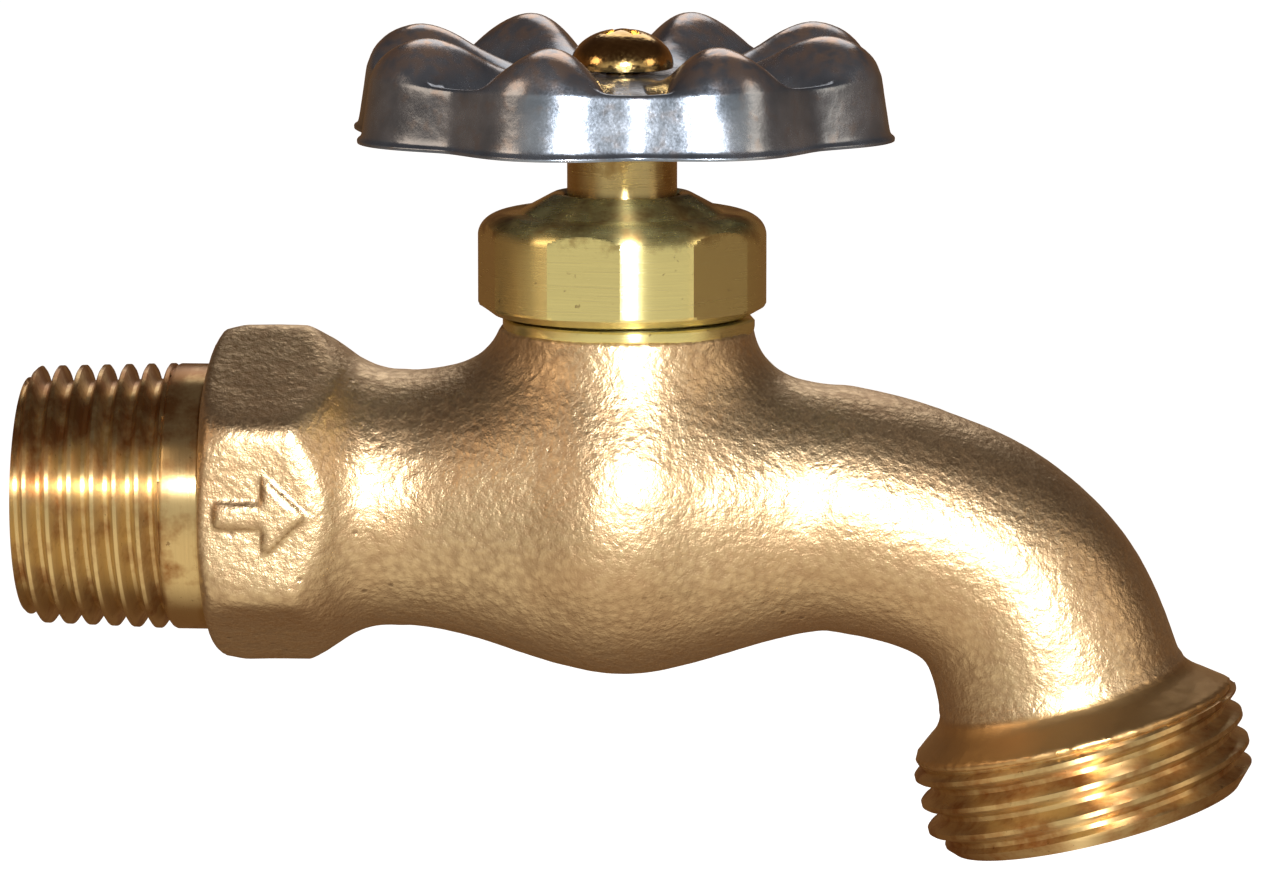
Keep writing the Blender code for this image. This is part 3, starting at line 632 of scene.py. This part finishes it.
def wheel_metal():
    """Dark die-cast metal with a satin gloss, faint orange peel, paler patches and a painted warm reflection
    on the lobe tops.
    """
    mat, nodes, shader, coords = start_material("dark_wheel_metal", 0.9)
    peel = nodes.noise(coords, 0.9, 2.0)
    soft = nodes.noise(coords, 0.16, 3.0, 0.6)
    grit = nodes.noise(coords, 5.0, 2.0, 0.6)
    colour = nodes.mix(nodes.remap(soft, 0.38, 0.66), (0.155, 0.185, 0.235), (0.27, 0.305, 0.37))
    # Warm-brown patches over the whole wheel: a random tint that also stands in for painted warm reflections
    colour = nodes.mix(nodes.remap(peel, 0.55, 0.7, 0.0, 0.3), colour, (0.24, 0.19, 0.165))
    rough = nodes.math("ADD", nodes.remap(soft, 0.35, 0.65, 0.19, 0.26),
                       nodes.remap(grit, 0.3, 0.7, -0.03, 0.04))
    # Painted warm reflection: orange-brown patches on the lobe tops, above the rim
    height = nodes.add("SeparateXYZ", {0: coords}).outputs["Z"]
    painted_warm_reflection = nodes.math("MULTIPLY", nodes.remap(height, WHEEL_Z + 5.0, WHEEL_Z + 7.5),
                         nodes.remap(peel, 0.4, 0.6, 0.2, 1.0))
    colour = nodes.mix(nodes.math("MULTIPLY", painted_warm_reflection, 0.7), colour, (0.50, 0.34, 0.25))
    finish_material(nodes, shader, colour, rough, ((soft, 0.0001), (peel, 0.000022), (grit, 0.000005)))
    return mat


def screw_bronze():
    """Glossy dark bronze of the handle screw."""
    mat, nodes, shader, coords = start_material("dark_screw_bronze", 1.0)
    soft = nodes.noise(coords, 0.5, 3.0, 0.6)
    fine = nodes.noise(coords, 4.0, 2.0)
    colour = nodes.mix(nodes.remap(soft, 0.35, 0.65), (0.42, 0.27, 0.10), (0.66, 0.45, 0.18))
    rough = nodes.remap(fine, 0.3, 0.7, 0.12, 0.22)
    finish_material(nodes, shader, colour, rough, ((soft, 0.00006), (fine, 0.000006)))
    return mat


def plain_soft(name, dark, light, rough):
    """Rubber or graphite packing, with a fine mottled surface."""
    mat, nodes, shader, coords = start_material(name, 0.0)
    mottle = nodes.noise(coords, 1.2, 4.0, 0.6)
    fibres = nodes.noise(stretched(nodes, coords, (1.0, 1.0, 5.0)), 1.0, 3.0)
    colour = nodes.mix(mottle, dark, light)
    finish_material(nodes, shader, colour, nodes.remap(mottle, 0.3, 0.7, rough - 0.08, rough + 0.08),
                    ((fibres, 0.00004),))
    return mat


# ---------------------------------------------------------------- building the pieces

def build_casting(mat):
    """Read the casting's skin off its field, then roughen it as sand does."""
    low = np.array((HEX_START - 1.0, -15.0, -26.0))
    high = np.array((STEM_X + 52.0, 15.0, NECK_TOP_Z + 1.2))
    counts = np.ceil((high - low) / GRID_PITCH).astype(int) + 1
    axes = [low[k] + GRID_PITCH * np.arange(counts[k]) for k in range(3)]
    grid = np.stack(np.meshgrid(*axes, indexing="ij"), axis=-1).reshape(-1, 3)
    field = casting(grid).reshape(tuple(counts))
    points, quads = skin(field, low, GRID_PITCH)
    points, normals = settle(points, casting)
    lifted = []
    for point, normal in zip(points, normals):
        x, y, z = point
        broad = noise.noise(Vector((x * 0.16, y * 0.16, z * 0.16)))
        pebble = noise.noise(Vector((x * 1.1 + 31.0, y * 1.1, z * 1.1)))
        lifted.append(point + normal * (BROAD_LIFT * broad + PEBBLE_LIFT * pebble))
    mesh = bpy.data.meshes.new("body_casting")
    mesh.from_pydata((np.array(lifted) * MM).tolist(), [], quads.tolist())
    mesh.validate()
    mesh.shade_smooth()
    return add_piece("body_casting", mesh, mat, "fixed_body", ("valve_body",))


def build_inlet_thread(mat):
    """Pipe thread with its plain collar, bored through."""
    rod = placed(thread_rod(PIPE_LENGTH, PIPE_PITCH, PIPE_DEPTH, lambda z: PIPE_END_R + PIPE_TAPER * z,
                            PIPE_END_R - 0.9, COLLAR_R - 1.1, turn=PIPE_START), (1, 0, 0), (0, 0, 0))
    angles = [2.0 * math.pi * i / 96 for i in range(96)]
    stations = ((-1.0, INLET_BORE_R + 0.9), (0.6, INLET_BORE_R), (PIPE_LENGTH + 5.0, INLET_BORE_R))
    bore = loft([[Vector((x, radius * math.cos(a), radius * math.sin(a))) for a in angles]
                 for x, radius in stations])
    mesh = cut_mesh("inlet_thread", to_mesh("rod", rod), [to_mesh("bore", bore)])
    add_piece("inlet_thread", mesh, mat, "fixed_body", ("valve_body",))
    profile = ((INLET_BORE_R + 0.02, PIPE_LENGTH - 0.3), (COLLAR_R - 0.5, PIPE_LENGTH - 0.3),
               (COLLAR_R - 0.12, PIPE_LENGTH), (COLLAR_R, PIPE_LENGTH + 0.25), (COLLAR_R, PIPE_LENGTH + 1.6),
               (COLLAR_R, HEX_START + 0.8), (INLET_BORE_R + 0.02, HEX_START + 0.8))
    collar = placed(loft([circle(r, z, 128, 0.0) for r, z in profile], loop=True), (1, 0, 0), (0, 0, 0))
    add_piece("inlet_collar", to_mesh("inlet_collar", collar), mat, "fixed_body",
              ("valve_body",))


def build_outlet_thread(mat):
    """Hose thread below the cast shoulder, with the turned face under the shoulder."""
    rod = placed(thread_rod(HOSE_LENGTH, HOSE_PITCH, HOSE_DEPTH, lambda z: HOSE_CREST_R,
                            HOSE_CREST_R - 1.6, HOSE_CREST_R - HOSE_DEPTH), -outlet_axis(),
                 outlet_point(HOSE_LENGTH))
    stations = ((OUTLET_BORE_R + 1.0, -1.0), (OUTLET_BORE_R, 0.4), (OUTLET_BORE_R, HOSE_LENGTH + 2.0))
    bore = placed(loft([circle(r, z, 96, 0.0) for r, z in stations]), -outlet_axis(),
                  outlet_point(HOSE_LENGTH))
    mesh = cut_mesh("outlet_thread", to_mesh("rod", rod), [to_mesh("bore", bore)])
    add_piece("outlet_thread", mesh, mat, "fixed_body", ("valve_body",))
    profile = ((OUTLET_BORE_R + 0.02, 0.6), (SHOULDER_R - 0.9, 0.6), (SHOULDER_R - 0.25, -0.2),
               (SHOULDER_R - 0.1, -0.55), (SHOULDER_R - 0.5, -0.9), (OUTLET_BORE_R + 0.02, -0.9))
    band = placed(loft([circle(r, z, 128, 0.0) for r, z in profile], loop=True), outlet_axis(),
                  outlet_point(0.6))
    add_piece("outlet_shoulder_face", to_mesh("outlet_shoulder_face", band), mat, "fixed_body",
              ("valve_body",))


def build_neck_band(mat):
    """Machined top of the neck, with a small burr where the tool left it."""
    profile = ((7.15, NECK_TOP_Z - 1.0), (NECK_R - 0.35, NECK_TOP_Z - 1.0),
               (NECK_R - 0.05, NECK_TOP_Z - 0.25), (NECK_R + 0.02, NECK_TOP_Z + 0.1),
               (NECK_R + 0.02, 14.85), (NECK_R - 0.12, 15.0), (8.4, 15.0), (8.3, 15.3), (8.3, 17.4),
               (8.0, 17.6), (7.15, 17.6))
    rings = []
    for radius, z in profile:
        ring = circle(radius, z, 160, STEM_X + (NECK_SHIFT if radius > 9.0 else 0.0))
        if radius > NECK_R - 0.2:
            for i, point in enumerate(ring):
                bite = math.exp(-((i - 156) / 3.5) ** 2)
                point.x += 0.35 * bite
                point.z += 0.12 * bite
        rings.append(ring)
    add_piece("neck_band", to_mesh("neck_band", loft(rings, loop=True)), mat, "fixed_body",
              ("valve_body",))


def nut_ring(apothem, corner, z, per_side=32):
    """Round section with six flats cut on it, the first corner turned by the nut's own turn."""
    ring = []
    for i in range(6 * per_side):
        angle = 2.0 * math.pi * i / (6 * per_side)
        from_flat = (angle + math.pi / 6.0) % (math.pi / 3.0) - math.pi / 6.0
        flat = apothem / math.cos(from_flat)
        radius = min(flat, corner)
        angle += NUT_TURN + math.pi / 6.0
        ring.append(Vector((STEM_X + radius * math.cos(angle), radius * math.sin(angle), z)))
    return ring


def build_nut(mat):
    """Packing nut: round with six flats, domed shoulder, raised cone round the stem, hollow inside."""
    outside = [(10.1, 10.1, NUT_LOW_Z), (10.35, 10.35, NUT_LOW_Z + 0.06)]
    outside += [(NUT_APOTHEM, NUT_CORNER - 0.12, NUT_LOW_Z + 0.68),
                (NUT_APOTHEM, NUT_CORNER, NUT_LOW_Z + 0.9)]
    outside += [(NUT_APOTHEM, NUT_CORNER, z) for z in (17.5, 19.0, 20.5)]
    for k in range(1, 21):
        turn = 0.5 * math.pi * k / 20.0
        dome = NUT_CORNER - 2.5 * (1.0 - math.cos(turn)) ** 1.1
        outside.append((min(NUT_APOTHEM, dome), dome, 21.5 + 1.95 * math.sin(turn)))
    outside += [(8.5, 8.5, 23.5), (8.15, 8.15, 23.52), (7.95, 7.95, 23.66), (5.75, 5.75, 24.85),
                (5.5, 5.5, 24.97), (5.2, 5.2, 25.0), (NUT_BORE_R + 0.15, NUT_BORE_R + 0.15, 24.95)]
    inside = [(NUT_BORE_R, 24.75), (NUT_BORE_R, 22.3), (7.9, 22.25), (9.3, 21.0), (9.3, NUT_LOW_Z + 0.5),
              (9.6, NUT_LOW_Z)]
    rings = [nut_ring(4.0 * a if a == c else a, c, z) for a, c, z in outside]
    rings += [nut_ring(4.0 * r, r, z) for r, z in inside]
    mesh = to_mesh("nut", loft(rings, loop=True), 9.0)
    add_piece("packing_nut_turned", mesh, mat, "fixed_body", ("packing_nut",))


# (radius, height above the bottom edge) from the hub out, over the rim and down the skirt
VALLEY = ((HUB_R, HUB_TOP), (9.0, 4.45), (12.0, 4.05), (15.0, 4.1), (17.2, 4.55), (18.6, 4.85), (19.3, 4.95),
          (19.5, 4.9), (19.65, 4.6), (19.8, 3.4), (19.98, 2.0), (20.12, 1.0), (20.25, 0.5), (20.45, 0.25),
          (20.45, 0.0))
LOBE = ((HUB_R, HUB_TOP), (9.0, 5.2), (12.0, 6.35), (14.6, 7.7), (17.0, 8.3), (19.2, 7.8), (20.6, 6.7),
        (21.2, 5.35), (21.35, 4.7), (21.55, 3.4), (21.78, 2.0), (21.95, 1.0), (22.1, 0.5), (22.4, 0.25),
        (22.4, 0.0))
RIM_STATION = 7               # profile point on the edge between the domes and the skirt
UNDER_VALLEY = ((7.2, 2.7), (12.0, 2.3), (16.4, 3.1), (17.9, 2.7), (18.4, 1.4), (18.7, 0.0))
UNDER_LOBE = ((7.2, 2.7), (12.0, 4.4), (16.0, 6.9), (18.6, 6.0), (19.9, 3.0), (20.5, 0.0))


def wheel_ring(valley, lobe, skirt, count=288):
    """Ring that follows a valley point and a lobe point in turn, eight times round.

    skirt is 1 for the broad scallops of the skirt, and 0 for the rounder domes that stand inside them.
    """
    ring = []
    for i in range(count):
        angle = 2.0 * math.pi * i / count
        wave = 0.5 - 0.5 * math.cos(LOBES * (angle - WHEEL_TURN + 0.5 * math.pi))
        dome = min(max((wave - 0.22) / 0.78, 0.0), 1.0) ** 0.72
        weight = dome + (wave ** 0.8 - dome) * skirt
        radius = valley[0] + (lobe[0] - valley[0]) * weight
        height = valley[1] + (lobe[1] - valley[1]) * weight
        ring.append(Vector((STEM_X + radius * math.cos(angle), radius * math.sin(angle), WHEEL_Z + height)))
    return ring


def square_ring(half, height, count=288):
    """Square section with as many points as a wheel ring."""
    ring = []
    for i in range(count):
        angle = 2.0 * math.pi * i / count
        radius = half / max(abs(math.cos(angle)), abs(math.sin(angle)))
        ring.append(Vector((STEM_X + radius * math.cos(angle), radius * math.sin(angle), WHEEL_Z + height)))
    return ring


def build_wheel(mat):
    """Dished wheel with eight domed lobes on a scalloped skirt, and a square socket up through its hub."""
    def hub_ring(radius, height):
        return wheel_ring((radius, height), (radius, height), 1.0)

    rings = [hub_ring(SCREW_HOLE_R, HUB_TOP)]
    for k, (valley, lobe) in enumerate(zip(rounded(VALLEY, 4), rounded(LOBE, 4))):
        rings.append(wheel_ring(valley, lobe, min(max(k / 4.0 - RIM_STATION + 1.0, 0.0), 1.0)))
    for valley, lobe in zip(rounded(UNDER_VALLEY, 3)[::-1], rounded(UNDER_LOBE, 3)[::-1]):
        rings.append(wheel_ring(valley, lobe, 1.0))
    hub_end = ((HUB_R + 0.3, 2.3), (HUB_R, 0.9), (HUB_R - 0.3, 0.6), (SOCKET_R, 0.6),
               (SOCKET_R, SOCKET_FLOOR))
    rings += [hub_ring(*point) for point in hub_end]
    rings += [square_ring(3.23, SOCKET_FLOOR), square_ring(3.05, SOCKET_TOP)]
    rings.append(hub_ring(SCREW_HOLE_R, SOCKET_TOP))
    mesh = to_mesh("handwheel_domed", loft(rings, loop=True), 50.0)
    add_piece("handwheel_domed", mesh, mat, "turning_stem", ("handwheel",))


def build_screw(mat):
    """Oval-head screw with a tapered cross recess."""
    profile = [(0.0, 27.2), (1.2, 27.2), (1.3, 27.4), (1.3, SCREW_BASE_Z),
               (SCREW_HEAD_R - 0.25, SCREW_BASE_Z), (SCREW_HEAD_R - 0.05, SCREW_BASE_Z + 0.08)]
    for k in range(15):
        turn = 0.5 * math.pi * k / 14.0
        profile.append((max(SCREW_HEAD_R * math.cos(turn), 0.0),
                        SCREW_BASE_Z + 0.35 + (SCREW_HEAD_H - 0.35) * math.sin(turn)))
    head = to_mesh("head", loft([circle(r, z, 96) for r, z in profile]))
    top = SCREW_BASE_Z + SCREW_HEAD_H
    rings = []
    for z, length, width in ((top - 1.9, 0.7, 0.28), (top - 0.2, 2.0, 0.48), (top + 1.0, 2.4, 0.6)):
        ring = []
        for quarter in range(4):
            turn = Matrix.Rotation((0.5 * quarter + 0.25) * math.pi, 3, "Z")
            for x, y in ((length, -width), (length, width), (width, width)):
                ring.append(Vector((STEM_X, 0.0, z)) + turn @ Vector((x, y, 0.0)))
        rings.append(ring)
    recess = to_mesh("recess", loft(rings))
    mesh = cut_mesh("handle_screw_head", head, [recess], 35.0)
    add_piece("handle_screw_head", mesh, mat, "turning_stem", ("handle_screw",))


def build_stem(mat):
    """Shank, barrel and cup in one turned piece, the stem's thread round the barrel, and the square top."""
    profile = ((0.0, 0.8), (5.4, 0.8), (5.4, -0.5), (5.75, -0.5), (5.75, 2.2), (5.4, 2.6), (5.2, 2.6),
               (5.2, 10.0), (SHANK_R, 11.0), (SHANK_R, 31.0), (4.2, 31.3), (0.0, 31.3))
    shank = to_mesh("stem_shank", loft([circle(r, z, 128) for r, z in profile]), 30.0)
    add_piece("stem_shank", shank, mat, "turning_stem", ("stem",))
    root = STEM_THREAD_R - STEM_THREAD_DEPTH
    low, high = STEM_THREAD_Z
    rod = placed(thread_rod(high - low, STEM_PITCH, STEM_THREAD_DEPTH, lambda z: STEM_THREAD_R, root, root),
                 (0, 0, 1), (STEM_X, 0, low))
    bore = loft([circle(5.1, z, 96) for z in (low - 1.0, high + 1.0)])
    mesh = cut_mesh("stem_thread", to_mesh("rod", rod), [to_mesh("bore", bore)])
    add_piece("stem_thread", mesh, mat, "turning_stem", ("stem",))
    square = []
    for half, z in ((2.95, 30.5), (2.76, 33.3), (2.6, 33.6)):
        square.append([Vector((STEM_X + x * half, y * half, z))
                       for x, y in ((-1, -1), (1, -1), (1, 1), (-1, 1))])
    hole = loft([circle(1.6, z, 48) for z in (26.0, 35.0)])
    mesh = cut_mesh("stem_square", to_mesh("square", loft(square)), [to_mesh("hole", hole)], 30.0)
    add_piece("stem_square", mesh, mat, "turning_stem", ("stem",))


def dress(node, mat):
    """Give a carried-over CAD node a better material."""
    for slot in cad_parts[node].material_slots:
        slot.material = mat


# ---------------------------------------------------------------- stage, light and camera

CAMERA_AZIMUTH = math.radians(4.56)
CAMERA_ELEVATION = math.radians(8.51)
CAMERA_DISTANCE = 555.5
CAMERA_TARGET = Vector((49.11, 0.0, 5.15))
CAMERA_LENS = 196.6


def direction(azimuth, elevation):
    """Unit vector from the object; azimuth 0 is -Y and grows towards +X."""
    return Vector((math.sin(azimuth) * math.cos(elevation), -math.cos(azimuth) * math.cos(elevation),
                   math.sin(elevation)))


def build_camera():
    back = direction(CAMERA_AZIMUTH, CAMERA_ELEVATION)
    data = bpy.data.cameras.new("camera")
    data.lens = CAMERA_LENS
    data.sensor_width = 36.0
    data.clip_start, data.clip_end = 0.01, 50.0
    camera = bpy.data.objects.new("camera", data)
    camera.location = (CAMERA_TARGET + back * CAMERA_DISTANCE) * MM
    camera.rotation_mode = "QUATERNION"
    camera.rotation_quaternion = (-back).to_track_quat("-Z", "Y")
    bpy.context.scene.collection.objects.link(camera)
    bpy.context.scene.camera = camera


def area_light(name, azimuth, elevation, distance, size, power, colour):
    data = bpy.data.lights.new(name, "AREA")
    data.shape = "DISK"
    data.size = size * MM
    data.energy = power
    data.color = colour
    light = bpy.data.objects.new(name, data)
    away = direction(math.radians(azimuth), math.radians(elevation))
    light.location = (CAMERA_TARGET + away * distance) * MM
    light.rotation_mode = "QUATERNION"
    light.rotation_quaternion = (-away).to_track_quat("-Z", "Y")
    bpy.context.scene.collection.objects.link(light)


def build_room():
    """White to the camera; to everything else, a warm dim room that is brightest in front."""
    world = bpy.data.worlds.new("room")
    bpy.context.scene.world = world
    world.use_nodes = True
    nodes = Nodes(world.node_tree)
    background = world.node_tree.nodes["Background"]
    toward = nodes.add("TexCoord").outputs["Generated"]
    parts = nodes.add("SeparateXYZ", {0: toward})
    front = nodes.add("VectorMath", {0: toward, 1: tuple(direction(math.radians(12.0), 0.0))},
                      operation="DOT_PRODUCT").outputs["Value"]
    facing = nodes.remap(front, 0.3, 0.7)
    colour = nodes.mix(facing, (0.17, 0.085, 0.035), (0.66, 0.62, 0.52))
    colour = nodes.mix(nodes.remap(parts.outputs["Z"], 0.12, 0.5), colour, (0.05, 0.03, 0.022))
    below = nodes.math("MULTIPLY", nodes.remap(parts.outputs["Z"], -0.1, -0.5),
                       nodes.remap(parts.outputs["Y"], 0.3, -0.3))
    colour = nodes.mix(below, colour, (0.95, 0.83, 0.63))
    seen = nodes.add("LightPath").outputs["Is Camera Ray"]
    colour = nodes.mix(seen, colour, (1.0, 1.0, 1.0))
    world.node_tree.links.new(colour, background.inputs["Color"])


def build_floor():
    """Plain pale floor well below the part; from underneath it lets the camera through."""
    bm = bmesh.new()
    bmesh.ops.create_circle(bm, cap_ends=True, segments=96, radius=6.0)
    bmesh.ops.translate(bm, verts=bm.verts, vec=(0.05, 0.0, FLOOR_Z * MM))
    mesh = bpy.data.meshes.new("floor")
    bm.to_mesh(mesh)
    bm.free()
    mat = bpy.data.materials.new("pale_floor")
    mat.use_nodes = True
    nodes = Nodes(mat.node_tree)
    output = mat.node_tree.nodes["Material Output"]
    shader = mat.node_tree.nodes["Principled BSDF"]
    shader.inputs["Base Color"].default_value = (0.9, 0.9, 0.89, 1.0)
    shader.inputs["Roughness"].default_value = 0.9
    shader.inputs["Emission Color"].default_value = (1.0, 1.0, 1.0, 1.0)
    shader.inputs["Emission Strength"].default_value = 1.0
    below = nodes.add("NewGeometry").outputs["Backfacing"]
    clear = nodes.add("BsdfTransparent")
    choose = nodes.add("MixShader", {0: below, 1: shader.outputs[0], 2: clear.outputs[0]})
    mat.node_tree.links.new(choose.outputs[0], output.inputs[0])
    mesh.materials.append(mat)
    floor = bpy.data.objects.new("floor", mesh)
    bpy.context.scene.collection.objects.link(floor)
    floor.visible_glossy = False
    floor.visible_diffuse = False
    floor.visible_shadow = False


def main():
    bpy.context.scene.view_settings.view_transform = "Standard"
    build_camera()
    build_room()
    build_floor()
    area_light("flash", 10.8, 17.4, 560.0, 40.0, 6.0, (1.0, 0.98, 0.94))
    area_light("soft_left", -62.0, 24.0, 600.0, 260.0, 0.5, (1.0, 0.72, 0.48))
    area_light("soft_right", 74.0, 20.0, 620.0, 260.0, 0.4, (1.0, 0.80, 0.58))
    area_light("soft_back", 180.0, 38.0, 700.0, 420.0, 0.8, (1.0, 0.93, 0.85))

    build_casting(cast_bronze())
    # The last pair in each call is where the brass darkens with height: painted shade on the nut's domed top
    # and on the stem up under the wheel; a darker top on the inlet and a darker lower end on the outlet
    inlet_brass = turned_brass("inlet_brass", (0.66, 0.50, 0.25), (0.36, 0.18, 0.065), 0.14, "X", (1.0, 13.0))
    outlet_brass = turned_brass("outlet_brass", (0.66, 0.49, 0.24), (0.40, 0.20, 0.07), 0.18, "Z",
                                (-24.0, -34.0))
    nut_brass = turned_brass("nut_brass", (0.78, 0.70, 0.32), (0.34, 0.23, 0.09), -0.02, "Z",
                             (20.5, 22.8), 0.25)
    stem_brass = turned_brass("stem_brass", (0.66, 0.52, 0.25), (0.42, 0.25, 0.09), 0.02, "Z",
                              (24.0, 34.0), 0.26)
    build_inlet_thread(inlet_brass)
    build_outlet_thread(outlet_brass)
    build_neck_band(nut_brass)
    build_nut(nut_brass)
    build_wheel(wheel_metal())
    build_screw(screw_bronze())
    build_stem(stem_brass)
    for node in ("washer_screw", "packing_washer", "packing_gland"):
        dress(node, stem_brass)
    dress("seat_washer", plain_soft("black_rubber", (0.015, 0.015, 0.016), (0.05, 0.05, 0.05), 0.6))
    dress("stem_packing", plain_soft("graphite_packing", (0.04, 0.04, 0.045), (0.12, 0.12, 0.13), 0.5))


main()
